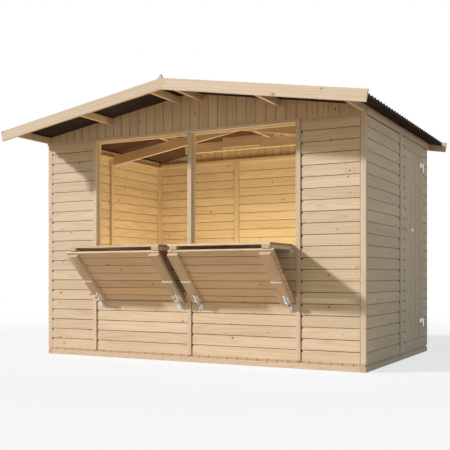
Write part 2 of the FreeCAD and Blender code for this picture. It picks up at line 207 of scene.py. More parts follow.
def woodMaterial(name, look):
    # Grain follows the board: UV in metres, u along it, and each board has its own tone
    sheet = NodeSheet(bpy.data.materials.new(name))
    times, plus = sheet.times, sheet.plus
    along, across = sheet.split(sheet.add("ShaderNodeUVMap", uv_map="grain").outputs["UV"])[:2]
    tone = sheet.attribute("boardTone")
    seed = times(tone, 61.0)

    def drawnOut(length, width, detail, rough=0.5):
        # Noise drawn out along the board, another one for each board
        place = sheet.combine(times(along, length), times(across, width), seed)
        return sheet.noise(place, detail=detail, rough=rough)

    # Knots: one chance in each cell of the board
    cells = sheet.add("ShaderNodeTexVoronoi", voronoi_dimensions="3D")
    cells.inputs["Scale"].default_value = 1.0
    cellPlace = sheet.combine(sheet.math("DIVIDE", along, wood["cellLength"]),
                              sheet.math("DIVIDE", across, wood["cellWidth"]),
                              sheet.math("ROUND", times(seed, 3.0)))
    sheet.feed(cells.inputs["Vector"], cellPlace)
    offset = sheet.add("ShaderNodeVectorMath", operation="SUBTRACT")
    sheet.feed(offset.inputs[0], cellPlace)
    sheet.join(cells, "Position", offset, 1)
    away = sheet.split(offset.outputs["Vector"])
    awayU = times(away[0], wood["cellSquash"] * wood["cellLength"])
    awayV = times(away[1], wood["cellWidth"])
    apart = sheet.math("SQRT", plus(times(awayU, awayU), times(awayV, awayV)))
    cellColor = sheet.add("ShaderNodeSeparateColor")
    sheet.join(cells, "Color", cellColor, "Color")
    present = sheet.math("GREATER_THAN", cellColor.outputs[0], look["noKnot"])
    inside = sheet.math("DIVIDE", apart, sheet.span(cellColor.outputs[1], 0, 1,
                                                    *wood["knotSize"]))
    knot = times(sheet.span(inside, 0.75, 1.2, 1, 0), present)
    fromRim = sheet.math("ABSOLUTE", sheet.math("SUBTRACT", inside, 0.9))
    rim = times(sheet.span(fromRim, 0.0, 0.35, 1, 0), present)
    swirl = times(sheet.math("POWER", sheet.span(inside, 0.6, 5.5, 1, 0), 2.0), present)

    # Year rings: bands across the board, bent by slow noise and round the knots
    phase = plus(times(across, wood["ringsPerMetre"]),
                 times(drawnOut(0.55, 7.0, 2), wood["ringBend"]))
    phase = plus(phase, times(swirl, 0.9))
    ring = sheet.math("SINE", times(phase, 2 * math.pi))
    ring = sheet.math("POWER", sheet.span(ring, -1, 1), 2.2)
    fibre = drawnOut(5.0, 420.0, 3, 0.65)
    cloud = drawnOut(1.3, 9.0, 2)
    depth = plus(times(ring, wood["ringDepth"]),
                 times(sheet.span(fibre, 0.3, 0.7), wood["fibreDepth"]))
    depth = plus(depth, times(sheet.span(cloud, 0.3, 0.7), wood["cloudDepth"]), clamp=True)
    color = sheet.blend(depth, look["pale"], look["deep"])
    toned = sheet.add("ShaderNodeVectorMath", operation="SCALE")
    sheet.feed(toned.inputs[0], color)
    sheet.feed(toned.inputs["Scale"], sheet.span(tone, 0, 1, *wood["toneSpan"]))
    color = sheet.blend(times(swirl, 0.5), toned.outputs[0], look["deep"])
    color = sheet.blend(times(knot, 0.9), color, wood["knot"])
    color = sheet.blend(times(rim, 0.6), color, wood["knotRim"])

    # Sawn ends, and painted shade on the sides that lie in a joint, in the hollows and on shaded
    # ends
    sawn = sheet.blend(sheet.span(drawnOut(90.0, 90.0, 3), 0.35, 0.65),
                       wood["endGrain"], look["deep"])
    color = sheet.blend(sheet.attribute("endGrain"), color, sawn)
    color = sheet.blend(times(sheet.attribute("paintedJointShade"), wood["jointShadeShare"]), color,
                        wood["jointShade"])
    sheet.paint(color, sheet.span(fibre, 0.2, 0.8, *wood["roughSpan"]))
    height = plus(times(fibre, 0.6), times(ring, 0.4))
    sheet.bump(sheet.math("SUBTRACT", height, times(knot, 0.5)), 0.35, 0.0006)
    return sheet.owner


# Bitumen, with the half width and depth of the room, over which the underside is painted a
# lighter brown as painted light from the room
felt = {
    "dark": rgb(44, 30, 26), "pale": rgb(60, 45, 38), "dust": rgb(86, 70, 62), "dustShare": 0.35,
    "roomLitDark": rgb(90, 64, 50), "roomLitPale": rgb(104, 76, 60), "room": (1.47, 0.9),
    "capDark": rgb(52, 38, 32), "capPale": rgb(66, 50, 42),
}


def bitumenMaterial():
    # Dark brown corrugated sheet with a fine felted grain and paler dust on it
    sheet = NodeSheet(bpy.data.materials.new("bitumenSheet"))
    place = sheet.place()
    grain = sheet.noise(place, scale=420, detail=3, rough=0.6)
    cloud = sheet.span(sheet.noise(place, scale=3.5, detail=4, rough=0.6), 0.3, 0.7)
    dust = sheet.times(sheet.span(grain, 0.5, 0.75), felt["dustShare"])
    color = sheet.blend(dust, sheet.blend(cloud, felt["dark"], felt["pale"]), felt["dust"])
    # Painted light: the underside over the room is painted a lighter brown, standing in for the
    # light inside the room
    roomLitUnderside = sheet.attribute("underside")
    for part, half in zip(sheet.split(place), felt["room"]):
        inside = sheet.math("LESS_THAN", sheet.math("ABSOLUTE", part), half)
        roomLitUnderside = sheet.times(roomLitUnderside, inside)
    roomLitBrown = sheet.blend(cloud, felt["roomLitDark"], felt["roomLitPale"])
    sheet.paint(sheet.blend(roomLitUnderside, color, roomLitBrown), sheet.span(grain, 0.3, 0.7, 0.78, 0.95))
    sheet.shader.inputs["Specular IOR Level"].default_value = 0.3
    sheet.bump(grain, 0.5, 0.0008)
    return sheet.owner


def capMaterial():
    # Brown plastic nail caps with a slight sheen
    sheet = NodeSheet(bpy.data.materials.new("nailCap"))
    mottle = sheet.noise(sheet.place(), scale=260, detail=2)
    sheet.paint(sheet.blend(sheet.span(mottle, 0.35, 0.65), felt["capDark"], felt["capPale"]),
                sheet.span(mottle, 0.3, 0.7, 0.42, 0.55))
    sheet.bump(mottle, 0.15, 0.0003)
    return sheet.owner


zinc = {"dull": rgb(214, 214, 214), "bright": rgb(234, 234, 232), "metallic": 0.85}


def steelMaterial():
    # Zinc-plated steel, soft crystal patches and fine scratches
    sheet = NodeSheet(bpy.data.materials.new("zincSteel"))
    place = sheet.place()
    patches = sheet.add("ShaderNodeTexVoronoi")
    patches.inputs["Scale"].default_value = 160
    sheet.feed(patches.inputs["Vector"], place)
    fine = sheet.noise(place, scale=900, detail=2)
    tone = sheet.add("ShaderNodeSeparateColor")
    sheet.join(patches, "Color", tone, "Color")
    sheet.paint(sheet.blend(tone.outputs[0], zinc["dull"], zinc["bright"]),
                sheet.span(fine, 0.3, 0.7, 0.3, 0.45))
    sheet.shader.inputs["Metallic"].default_value = zinc["metallic"]
    sheet.bump(fine, 0.12, 0.0003)
    return sheet.owner


wallWood = woodMaterial("wallWood", wood["walls"])
timberWood = woodMaterial("timberWood", wood["timber"])
floorWood = woodMaterial("floorWood", wood["floor"])
bitumen = bitumenMaterial()
nailCap = capMaterial()
steel = steelMaterial()
print("kiosk: materials ready")


# Modelling helpers

def only(obj):
    bpy.ops.object.select_all(action="DESELECT")
    bpy.context.view_layer.objects.active = obj
    obj.select_set(True)


def settle(obj):
    only(obj)
    bpy.ops.object.transform_apply(location=True, rotation=True, scale=True)


def addBlock(name, low, high):
    low, high = Vector(low), Vector(high)
    bpy.ops.mesh.primitive_cube_add(size=1, location=(low + high) / 2)
    obj = bpy.context.object
    obj.name = name
    obj.scale = high - low
    settle(obj)
    return obj


def addRound(radius, depth, place, sides=12, turn=0):
    # A short cylinder, its axis turned from Z towards X
    bpy.ops.mesh.primitive_cylinder_add(vertices=sides, radius=radius, depth=depth,
                                        location=place, rotation=(0, math.radians(turn), 0))
    obj = bpy.context.object
    settle(obj)
    return obj


def pick(obj, kind, test):
    # Leaves obj in edit mode with the faces, edges or corners that pass the test selected
    only(obj)
    bpy.ops.object.mode_set(mode="EDIT")
    bpy.ops.mesh.select_mode(type=kind)
    bpy.ops.mesh.select_all(action="DESELECT")
    bpy.ops.object.mode_set(mode="OBJECT")
    mesh = obj.data
    if kind == "FACE":
        for face in mesh.polygons:
            face.select = test(face.center, face.normal)
    elif kind == "EDGE":
        for edge in mesh.edges:
            ends = [mesh.vertices[i].co for i in edge.vertices]
            edge.select = test(ends[0], ends[1])
    else:
        for vertex in mesh.vertices:
            vertex.select = test(vertex.co)
    bpy.ops.object.mode_set(mode="EDIT")


def endEdit():
    bpy.ops.object.mode_set(mode="OBJECT")


def editAll(obj):
    # Leaves obj in edit mode with all of it selected
    only(obj)
    bpy.ops.object.mode_set(mode="EDIT")
    bpy.ops.mesh.select_all(action="SELECT")


def cutPlane(obj, place, out, **settings):
    editAll(obj)
    bpy.ops.mesh.bisect(plane_co=place, plane_no=out, **settings)
    endEdit()


def cutNotch(obj, low, high):
    cutter = addBlock("notch", low, high)
    notch = obj.modifiers.new("notch", "BOOLEAN")
    notch.object = cutter
    notch.solver = "EXACT"
    applyAll(obj)
    remove(cutter)


def extrudeBy(x, y, z):
    bpy.ops.mesh.extrude_region_move(TRANSFORM_OT_translate={"value": (x, y, z)})


def applyAll(obj):
    only(obj)
    for modifier in list(obj.modifiers):
        bpy.ops.object.modifier_apply(modifier=modifier.name)


def copyOf(obj, move):
    new = obj.copy()
    new.data = obj.data.copy()
    bpy.context.scene.collection.objects.link(new)
    new.data.transform(move)
    return new


def joinAll(name, parts):
    bpy.ops.object.select_all(action="DESELECT")
    for part in parts:
        part.select_set(True)
    bpy.context.view_layer.objects.active = parts[0]
    if len(parts) > 1:
        bpy.ops.object.join()
    parts[0].name = name
    return parts[0]


def remove(obj):
    bpy.data.objects.remove(obj, do_unlink=True)


def smooth(obj, angle):
    only(obj)
    bpy.ops.object.shade_smooth_by_angle(angle=math.radians(angle))


def mirror(obj):
    # To the other slope of the roof, with its faces still outwards
    obj.data.transform(Matrix.Scale(-1, 4, (1, 0, 0)))
    obj.data.flip_normals()
    return obj


def pointsOf(mesh):
    points = np.zeros(len(mesh.vertices) * 3)
    mesh.vertices.foreach_get("co", points)
    return points.reshape(-1, 3)


def looseParts(mesh):
    # One number per vertex, the same for all vertices that hang together
    ends = np.zeros(len(mesh.edges) * 2, np.int64)
    mesh.edges.foreach_get("vertices", ends)
    ends = ends.reshape(-1, 2)
    label = np.arange(len(mesh.vertices))
    while True:
        new = label.copy()
        low = np.minimum(label[ends[:, 0]], label[ends[:, 1]])
        np.minimum.at(new, ends[:, 0], low)
        np.minimum.at(new, ends[:, 1], low)
        new = new[new]
        if (new == label).all():
            return label
        label = new


# A piece takes its grain from anywhere in this many metres, and its edges from further across
grainRoom = 40
edgeShift = 0.31


def storeGrain(mesh, uv, tone, ends, jointShade):
    mesh.uv_layers.new(name="grain").data.foreach_set("uv", uv.ravel())
    for name, kind, values in (("boardTone", "POINT", tone), ("endGrain", "FACE", ends),
                               ("paintedJointShade", "FACE", jointShade)):
        mesh.attributes.new(name, "FLOAT", kind).data.foreach_set("value", values)


def layGrain(obj):
    # UV in metres along and across each loose timber, with its own tone and end grain
    mesh = obj.data
    points = pointsOf(mesh)
    label = looseParts(mesh)
    tone = np.zeros(len(points), np.float32)
    axes = {}
    for part in np.unique(label):
        mine = label == part
        cloud = points[mine]
        turn = np.linalg.svd(cloud - cloud.mean(0), full_matrices=False)[2]
        tone[mine] = chance.random()
        axes[part] = (cloud.mean(0), turn, chance.uniform(0, grainRoom),
                      chance.uniform(0, grainRoom))
    uv = np.zeros((len(mesh.loops), 2), np.float32)
    ends = np.zeros(len(mesh.polygons), np.float32)
    for face in mesh.polygons:
        first = mesh.loops[face.loop_start].vertex_index
        middle, turn, shiftU, shiftV = axes[label[first]]
        facing = np.abs(turn @ np.array(face.normal))
        index = [mesh.loops[i].vertex_index for i in face.loop_indices]
        local = (points[index] - middle) @ turn.T
        if facing[0] > 0.75:
            u, v = local[:, 1], local[:, 2]
            ends[face.index] = 1
        elif facing[2] >= facing[1]:
            u, v = local[:, 0], local[:, 1]
        else:
            u, v = local[:, 0], local[:, 2] + edgeShift
        rows = slice(face.loop_start, face.loop_start + face.loop_total)
        uv[rows, 0] = u + shiftU
        uv[rows, 1] = v + shiftV
    storeGrain(mesh, uv, tone, ends, np.zeros(len(mesh.polygons), np.float32))


def layBoardGrain(obj, jointLow, jointHigh, hollow=None, endShade=0.0, faceShade=1.0):
    # The same for one board that still lies along X. Its sides below the first height and
    # above the second lie in a joint and get painted shade, and so do the hollow at its end and,
    # by endShade, its sawn ends
    middle = pointsOf(obj.data)[:, 1].mean()
    mesh = obj.data
    uv = np.zeros((len(mesh.loops), 2), np.float32)
    ends = np.zeros(len(mesh.polygons), np.float32)
    jointShade = np.zeros(len(mesh.polygons), np.float32)
    for face in mesh.polygons:
        normal, center = face.normal, face.center
        shade = faceShade if center.y < middle else min(board["roomShade"], faceShade)
        if abs(normal.x) < 0.5:
            if not jointLow < center.z < jointHigh:
                jointShade[face.index] = shade * min(max((abs(normal.z) - 0.3) / 0.4, 0), 1)
            if center.z > jointHigh + board["jointDepth"]:
                jointShade[face.index] = shade
        # Sawn ends get painted shade by endShade
        else:
            jointShade[face.index] = endShade
        # The open hollow at the board's end is painted fully in shade
        if hollow and all(low - tiny < value < high + tiny
                          for low, value, high in zip(hollow[0], center, hollow[1])):
            jointShade[face.index] = 1
        for loop in face.loop_indices:
            x, y, z = mesh.vertices[mesh.loops[loop].vertex_index].co
            if abs(normal.x) > 0.75:
                uv[loop] = y, z
                ends[face.index] = 1
            elif abs(normal.y) > 0.4:
                uv[loop] = x, z
            else:
                uv[loop] = x, y + edgeShift
    storeGrain(mesh, uv, np.zeros(len(mesh.vertices), np.float32), ends, jointShade)


def finishPiece(obj, body, slotName, material, *nodes):
    obj.data.materials.clear()
    obj.data.materials.append(material)
    if material in (wallWood, timberWood, floorWood) and "grain" not in obj.data.uv_layers:
        layGrain(obj)
    if nodes:
        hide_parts(*nodes)
    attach(obj, body)


def mergedCopy(node):
    obj = frame["nodes"][node].copy()
    obj.data = obj.data.copy()
    obj.parent = None
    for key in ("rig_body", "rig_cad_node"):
        del obj[key]
    obj.name = node + "Shaped"
    bpy.context.scene.collection.objects.link(obj)
    obj.hide_render = obj.hide_viewport = False
    obj.hide_set(False)
    editAll(obj)
    bpy.ops.mesh.remove_doubles(threshold=2 * tiny)
    bpy.ops.mesh.dissolve_limited(angle_limit=math.radians(2))
    endEdit()
    return obj


def softened(node, width, angle=25):
    # A CAD node with its sharp edges eased, as on planed timber or pressed steel
    obj = mergedCopy(node)
    bevel = obj.modifiers.new("ease", "BEVEL")
    bevel.width = width
    bevel.segments = 2
    bevel.limit_method = "ANGLE"
    bevel.angle_limit = math.radians(angle)
    applyAll(obj)
    return obj


def partBoxes(node):
    # Lowest and highest corner of each solid of a CAD node
    obj = mergedCopy(node)
    label = looseParts(obj.data)
    points = pointsOf(obj.data)
    remove(obj)
    clouds = [points[label == part] for part in np.unique(label)]
    return [(Vector(cloud.min(0)), Vector(cloud.max(0))) for cloud in clouds]


# Boards with tongue and groove; the slots and open laps show as dark joints, partly from their
# shape and partly from painted shade laid on their sides
board = {
    "cover": 0.0886, "thick": 0.019, "gap": 0.0018, "endGap": 0.0015, "edge": 0.0015,
    "lapGap": 0.0036, "recess": 0.009, "slope": 0.0015, "ledge": 0.0115, "railLedge": 0.0225,
    "tongue": 0.006, "tongueWidth": 0.0034, "tongueShift": -0.003,
    "grooveDepth": 0.007, "grooveWidth": 0.0042, "grooveShift": 0.004,
    "slot": 0.0026, "slotDepth": 0.005, "hollowFront": 0.014, "hollowSide": 0.026,
    "hollowSkin": 0.005, "hollowUnder": 0.0005, "hollowOver": 0.0001, "underStrip": 0.033,
    "jointDepth": 0.002, "roomShade": 0.7,
    "backStripsFrom": 0.9, "sideStripsFrom": 1.5, "unevenness": 0.0004,
}


def pickTop(center, normal):
    return normal.z > 0.9


def makeBoard(length, cover, thick, lapped, gap, hollowSpan, shades, topLedge, first, last):
    # Along X with its face towards -Y; a lapped board leans back under the next one's lip
    top = cover - (0 if last else gap)
    ledge = topLedge if last else board["ledge"]
    lean = lapped and ledge > 0
    full = top - board["slope"] - ledge if lean else top
    slot, depth = (0, 0) if first else (board["slot"], board["slotDepth"])
    obj = addBlock("board", (0, -thick, slot), (length, 0, full))
    faceWidth = thick
    if lean:
        pick(obj, "FACE", pickTop)
        extrudeBy(0, 0, board["slope"])
        endEdit()
        knee = full + board["slope"] - tiny
        pick(obj, "EDGE", lambda a, b: min(a.z, b.z) > knee and max(a.y, b.y) < tiny - thick)
        bpy.ops.transform.translate(value=(0, board["recess"], 0))
        endEdit()
        pick(obj, "FACE", pickTop)
        extrudeBy(0, 0, ledge)
        endEdit()
        faceWidth -= board["recess"]
    if not last:
        pick(obj, "FACE", pickTop)
        bpy.ops.mesh.inset(thickness=(faceWidth - board["tongueWidth"]) / 2)
        bpy.ops.transform.translate(value=(0, board["tongueShift"] if lean else 0, 0))
        extrudeBy(0, 0, board["tongue"])
        endEdit()
    if not first:
        # Only the middle of the sole comes down to the next board: a dark slot is left beside it
        soleLow, soleHigh = -thick + (0 if lapped else depth), -depth
        for y in {soleLow, soleHigh} - {-thick}:
            cutPlane(obj, (0, y, 0), (0, 1, 0))
        pick(obj, "FACE", lambda center, normal: normal.z < -0.9 and center.z < slot + tiny
             and soleLow < center.y < soleHigh)
        extrudeBy(0, 0, -slot)
        endEdit()
        pick(obj, "FACE", lambda center, normal: normal.z < -0.9 and center.z < tiny)
        bpy.ops.mesh.inset(thickness=(soleHigh - soleLow - board["grooveWidth"]) / 2)
        bpy.ops.transform.translate(value=(0, board["grooveShift"] if lapped else 0, 0))
        extrudeBy(0, 0, board["grooveDepth"])
        endEdit()
    levels = {0: (slot, top), -thick: (0 if lapped else slot, None if lean else top)}

    def corner(a, b):
        if abs(a.z - b.z) > tiny or abs(a.y - b.y) > tiny or abs(a.x - b.x) < length / 2:
            return False
        return any(abs(a.y - y) < tiny and any(z is not None and abs(a.z - z) < tiny
                                               for z in levels[y]) for y in levels)

    pick(obj, "EDGE", corner)
    bpy.ops.mesh.bevel(offset=board["edge"], segments=2, affect="EDGES")
    endEdit()
    hollow = None
    if lean and hollowSpan and not last:
        # The lap stays open for a little way at the end, as beside the strips of the real one
        start, end = (value if value >= 0 else length + value for value in hollowSpan)
        low = Vector((start, -thick - spare, full - board["hollowUnder"]))
        high = Vector((end, -board["hollowSkin"], top + board["hollowOver"]))
        hollow = (low, high)
        past = Vector((spare, 0, 0))
        cutNotch(obj, low - past if start <= 0 else low, high + past if end >= length else high)
    jointHigh = top - board["jointDepth"]
    if last:
        jointHigh = full + board["slope"] if lean else 1
    layBoardGrain(obj, -1 if first else slot + tiny, jointHigh, hollow, *shades)
    return obj


def copyBoard(source, move):
    # The copy gets its own piece of grain and its own tone
    new = copyOf(source, move)
    mesh = new.data
    uv = np.zeros(len(mesh.loops) * 2, np.float32)
    mesh.uv_layers["grain"].data.foreach_get("uv", uv)
    uv = uv.reshape(-1, 2) + (chance.uniform(0, grainRoom), chance.uniform(0, grainRoom))
    mesh.uv_layers["grain"].data.foreach_set("uv", uv.ravel())
    tone = np.full(len(mesh.vertices), chance.random(), np.float32)
    mesh.attributes["boardTone"].data.foreach_set("value", tone)
    return new


def homeAt(corner, along, out):
    # Where a stack of boards lies: local X along them, local -Y is the face, rows follow local Z
    x, y = Vector(along), -Vector(out)
    return Matrix.Translation(corner) @ Matrix((x, y, x.cross(y))).transposed().to_4x4()


def stackRows(home, length, height, thick, lapped=False, first=None, cover=board["cover"],
              stagger=0.0, gap=board["gap"], hollowSpan=None, shades=(0.0, 1.0), topLedge=0.0):
    # Fills a height with rows; the first may be narrower and the last takes what is left
    heights = [first] if first else []
    count = max(1, round((height - sum(heights)) / cover))
    heights += [cover] * (count - 1)
    heights.append(height - sum(heights))
    sources = {}
    parts = []
    z = 0.0
    for index, tall in enumerate(heights):
        last = index == len(heights) - 1
        key = (round(tall, 5), index == 0, last)
        if key not in sources:
            sources[key] = makeBoard(length - 2 * stagger, tall, thick, lapped, gap,
                                     hollowSpan, shades, topLedge, *key[1:])
        slide = Matrix.Translation((stagger + chance.uniform(-stagger, stagger),
                                    chance.uniform(0, board["unevenness"]), z))
        parts.append(copyBoard(sources[key], home @ slide))
        z += tall
    for source in sources.values():
        remove(source)
    return parts


def wallPanel(low, high, facing, underStrip=0.0, hollowEnd=board["hollowFront"]):
    # Lapped boards in a wall's box; underStrip is how much of the far end lies under a strip
    low, high = Vector(low), Vector(high)
    axis = 0 if facing in ("front", "back") else 1
    low[axis] += board["endGap"]
    high[axis] -= board["endGap"]
    length = high[axis] - low[axis]
    homes = {
        "front": ((low.x, high.y, low.z), (1, 0, 0), (0, -1, 0)),
        "right": ((low.x, low.y, low.z), (0, 1, 0), (1, 0, 0)),
        "back": ((high.x, low.y, low.z), (-1, 0, 0), (0, 1, 0)),
        "left": ((high.x, high.y, low.z), (0, -1, 0), (-1, 0, 0)),
    }
    # The laps are open at the left end of the front and back and the back end of the sides
    reach = underStrip + hollowEnd
    atStart = facing in ("front", "left")
    hollowSpan = (0, reach) if atStart else (-reach, length)
    # On the sides the top row is rebated under the eaves rail
    return stackRows(homeAt(*homes[facing]), length, high.z - low.z, board["thick"],
                     lapped=True, gap=board["lapGap"], hollowSpan=hollowSpan,
                     topLedge=board["railLedge"] if axis else 0.0)


def splitPanels(low, high, facing, joints):
    # Panels butt at the joints, under the cover strips
    axis = 0 if facing in ("front", "back") else 1
    edges = [low[axis]] + list(joints) + [high[axis]]
    parts = []
    for index in range(len(edges) - 1):
        a, b = Vector(low), Vector(high)
        a[axis], b[axis] = edges[index:index + 2]
        nextToStrip = index < len(joints)
        parts += wallPanel(a, b, facing, board["underStrip"] if nextToStrip else 0,
                           board["hollowSide" if axis else "hollowFront"])
    return parts


def boardPiece(name, parts, node, body="kiosk"):
    finishPiece(joinAll(name, parts), body, "wall_boards", wallWood, node)


def wallBoards():
    for node in ("front_wall_left", "front_wall_right"):
        boardPiece(node + "Boards", wallPanel(*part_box(node), "front"), node)
    parts = []
    for low, high in partBoxes("front_wall_under_windows"):
        parts += wallPanel(low, high, "front")
    boardPiece("underWindowBoards", parts, "front_wall_under_windows")
    strips = [(low + high) / 2 for low, high in partBoxes("cover_strips")]
    backJoints = sorted(strip.x for strip in strips if strip.y > board["backStripsFrom"])
    leftJoints = [strip.y for strip in strips if strip.x < -board["sideStripsFrom"]]
    rightJoints = [strip.y for strip in strips if strip.x > board["sideStripsFrom"]]
    for name, node, facing, joints in (
            ("backWall", "back_wall", "back", backJoints),
            ("left_wall", "left_wall", "left", leftJoints),
            ("right_wall_front", "right_wall_front", "right", rightJoints),
            ("right_wall_back", "right_wall_back", "right", [])):
        boardPiece(name + "Boards", splitPanels(*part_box(node), facing, joints), node)


gable = {"firstBoard": 0.095, "cover": 0.0868, "notchRoom": 0.0012}


def gableBoards():
    # Upright boards, each cut along the roof and round the purlin that it meets
    slope = math.tan(math.radians(roof["pitch"]))
    room = gable["notchRoom"]
    purlins = partBoxes("ridge_purlins") + partBoxes("middle_purlins")
    for node, out in (("front_gable", -1), ("back_gable", 1)):
        low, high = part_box(node)
        corner = (high.x, high.y, low.z) if out < 0 else (low.x, low.y, low.z)
        parts = stackRows(homeAt(corner, (0, 0, 1), (0, out, 0)), high.z - low.z,
                          high.x - low.x, high.y - low.y, first=gable["firstBoard"],
                          cover=gable["cover"])
        for part in parts:
            across = pointsOf(part.data)[:, 0]
            left, right = across.min(), across.max()
            for side in (-1, 1):
                if max(side * left, side * right) > 0:
                    cutPlane(part, (0, 0, high.z), (side * slope, 0, 1), use_fill=True,
                             clear_outer=True)
            for a, b in purlins:
                if a.x - room < right and b.x + room > left:
                    cutNotch(part, (a.x - room, low.y - room, a.z - room),
                             (b.x + room, high.y + room, high.z + 0.1))
        boardPiece(node + "Boards", parts, node)


deck = {"boards": 34, "gap": 0.0034, "stagger": 0.0008}


def floorBoards():
    # From front to back, so that their ends show under the front wall
    low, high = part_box("floor")
    home = homeAt((high.x, low.y, low.z), (0, 1, 0), (0, 0, 1))
    parts = stackRows(home, high.y - low.y, high.x - low.x, high.z - low.z,
                      cover=(high.x - low.x) / deck["boards"], stagger=deck["stagger"],
                      gap=deck["gap"])
    finishPiece(joinAll("floorBoards", parts), "kiosk", "floor_boards", floorWood, "floor")


# How far the edges of each timber are eased
eased = {
    "window_posts": 0.0018, "window_head_rail": 0.0018, "front_top_rails": 0.0012,
    "window_sills": 0.0015, "corner_strips": 0.002, "cover_strips": 0.0022,
    "wall_studs": 0.0022, "wall_plates": 0.0015, "eaves_rails": 0.0018, "gable_rails": 0.0015,
    "eaves_purlins": 0.002, "middle_purlins": 0.002, "ridge_purlins": 0.002,
    "front_left_barge_board": 0.0022, "front_right_barge_board": 0.0022,
    "back_barge_boards": 0.0022, "truss_rafters": 0.002, "truss_tie": 0.002,
    "truss_gusset": 0.0015, "floor_rims": 0.0022, "floor_bearers": 0.0022,
    "door_jambs": 0.0018, "right_wall_under_door": 0.0022,
    "counter_battens": 0.0025, "brace_battens": 0.003, "right_wall_over_door": 0.0022,
}


def timberFrame():
    for node, ease in eased.items():
        obj = softened(node, ease)
        if node == "right_wall_over_door":
            # Rebated under the eaves rail as the wall's top row is
            low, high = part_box(node)
            cutNotch(obj, (high.x - board["recess"], low.y - spare, high.z - board["railLedge"]),
                     (high.x + spare, high.y + spare, high.z + spare))
        finishPiece(obj, "kiosk", "planed_timber", timberWood, node)


# Folding counters and the leaves that lean under them
leaf = {
    "lean": 45.8, "thick": 0.018, "batten": 0.028, "footBoard": 0.059, "counterFirst": 0.052,
    "stagger": 0.0016, "shades": (0.5, 0.7),
}


def braceHome(node):
    # The leaf's own frame: its foot on the wall side, local Z up the leaf
    low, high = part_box(node)
    lean = math.radians(leaf["lean"])
    length = (high.y - low.y - leaf["thick"] * math.cos(lean)) / math.sin(lean)
    foot = Matrix.Translation((low.x, high.y, high.z - length * math.cos(lean)))
    return foot @ Matrix.Rotation(lean, 4, "X"), length, high.x - low.x


def counterLeaves():
    for side in ("left", "right"):
        node = side + "_counter_brace"
        home, length, width = braceHome(node)
        parts = stackRows(home, width, length, leaf["thick"], first=leaf["footBoard"],
                          stagger=leaf["stagger"], shades=leaf["shades"])
        boardPiece(side + "BraceLeaf", parts, node)
        node = side + "_counter"
        low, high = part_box(node)
        home = homeAt((low.x, high.y, high.z), (1, 0, 0), (0, 0, -1))
        parts = stackRows(home, high.x - low.x, high.y - low.y, high.z - low.z,
                          first=leaf["counterFirst"], stagger=leaf["stagger"],
                          shades=leaf["shades"])
        boardPiece(side + "CounterLeaf", parts, node)


# Corrugated roof sheets: one wave is shaped, repeated and given its thickness
roof = {
    "pitch": 9.35, "wave": 0.072, "height": 0.022, "thick": 0.003, "steps": 12, "spans": 6,
    "eaveEnd": 1.63, "eaveRise": 0.008, "wavesPerNail": 3,
    "washer": 0.002, "nailRadius": 0.0095, "capRadius": 0.0065, "nailHeight": 0.009,
    "domeShare": 0.3, "domeSize": 0.62, "nailBack": 0.0135, "nailSink": 0.0004,
    "ridgeNailShift": 0.012, "ridgeNailLift": 0.0036, "capEase": 0.0008,
}


def markUnderside(obj):
    attribute = obj.data.attributes.new("underside", "FLOAT", "FACE")
    for face in obj.data.polygons:
        attribute.data[face.index].value = 1.0 if face.normal.z < -0.1 else 0.0


def roofSheet(node, side):
    low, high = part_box(node)
    pitch = math.radians(roof["pitch"])
    bulge = roof["height"] * math.sin(pitch)
    slot = min(abs(low.x), abs(high.x))
    run = (roof["eaveEnd"] - slot - bulge) / math.cos(pitch)
    swing = (roof["height"] - roof["thick"]) / 2
    wave, steps, spans = roof["wave"], roof["steps"], roof["spans"]
    bpy.ops.mesh.primitive_grid_add(x_subdivisions=spans, y_subdivisions=steps, size=1,
                                    location=(0.5, 0.5, 0))
    obj = bpy.context.object
    settle(obj)
    obj.scale = (run, wave, 1)
    settle(obj)
    for step in range(steps + 1):
        y = wave * step / steps
        crest = math.cos(2 * math.pi * step / steps)
        for span in range(spans + 1):
            # The waves are a little higher at the eaves than under the ridge cap
            x = run * span / spans
            rise = roof["eaveRise"] * (span / spans) * (crest + 1) / 2
            pick(obj, "VERT", lambda point: abs(point.y - y) < tiny and abs(point.x - x) < tiny)
            bpy.ops.transform.translate(value=(0, 0, swing * crest + rise))
            endEdit()
    length = high.y - low.y
    repeat = obj.modifiers.new("waves", "ARRAY")
    repeat.count = math.ceil(length / wave)
    repeat.use_relative_offset = False
    repeat.use_constant_offset = True
    repeat.constant_offset_displace = (0, wave, 0)
    repeat.use_merge_vertices = True
    applyAll(obj)
    cutPlane(obj, (0, length, 0), (0, 1, 0), clear_outer=True)
    skin = obj.modifiers.new("skin", "SOLIDIFY")
    skin.thickness = roof["thick"]
    skin.offset = 0
    applyAll(obj)
    smooth(obj, 40)
    # The higher end lies at the ridge slot
    start = slot + bulge / 2
    lift = high.z - roof["height"] / 2 * math.cos(pitch)
    home = Matrix.Translation((start, low.y, lift)) @ Matrix.Rotation(pitch, 4, "Y")
    obj.data.transform(home)
    if side < 0:
        mirror(obj)
    obj.name = node + "Waves"
    markUnderside(obj)
    finishPiece(obj, "kiosk", "bitumen_sheet", bitumen, node)
    return home, start, run


def makeNail():
    # A round washer with a domed cap, standing on its underside
    obj = addRound(roof["nailRadius"], roof["washer"], (0, 0, roof["washer"] / 2))
    rise = roof["nailHeight"] - roof["washer"]
    pick(obj, "FACE", pickTop)
    bpy.ops.mesh.inset(thickness=roof["nailRadius"] - roof["capRadius"])
    extrudeBy(0, 0, rise * (1 - roof["domeShare"]))
    extrudeBy(0, 0, rise * roof["domeShare"])
    bpy.ops.transform.resize(value=(roof["domeSize"], roof["domeSize"], 1))
    endEdit()
    smooth(obj, 50)
    return obj


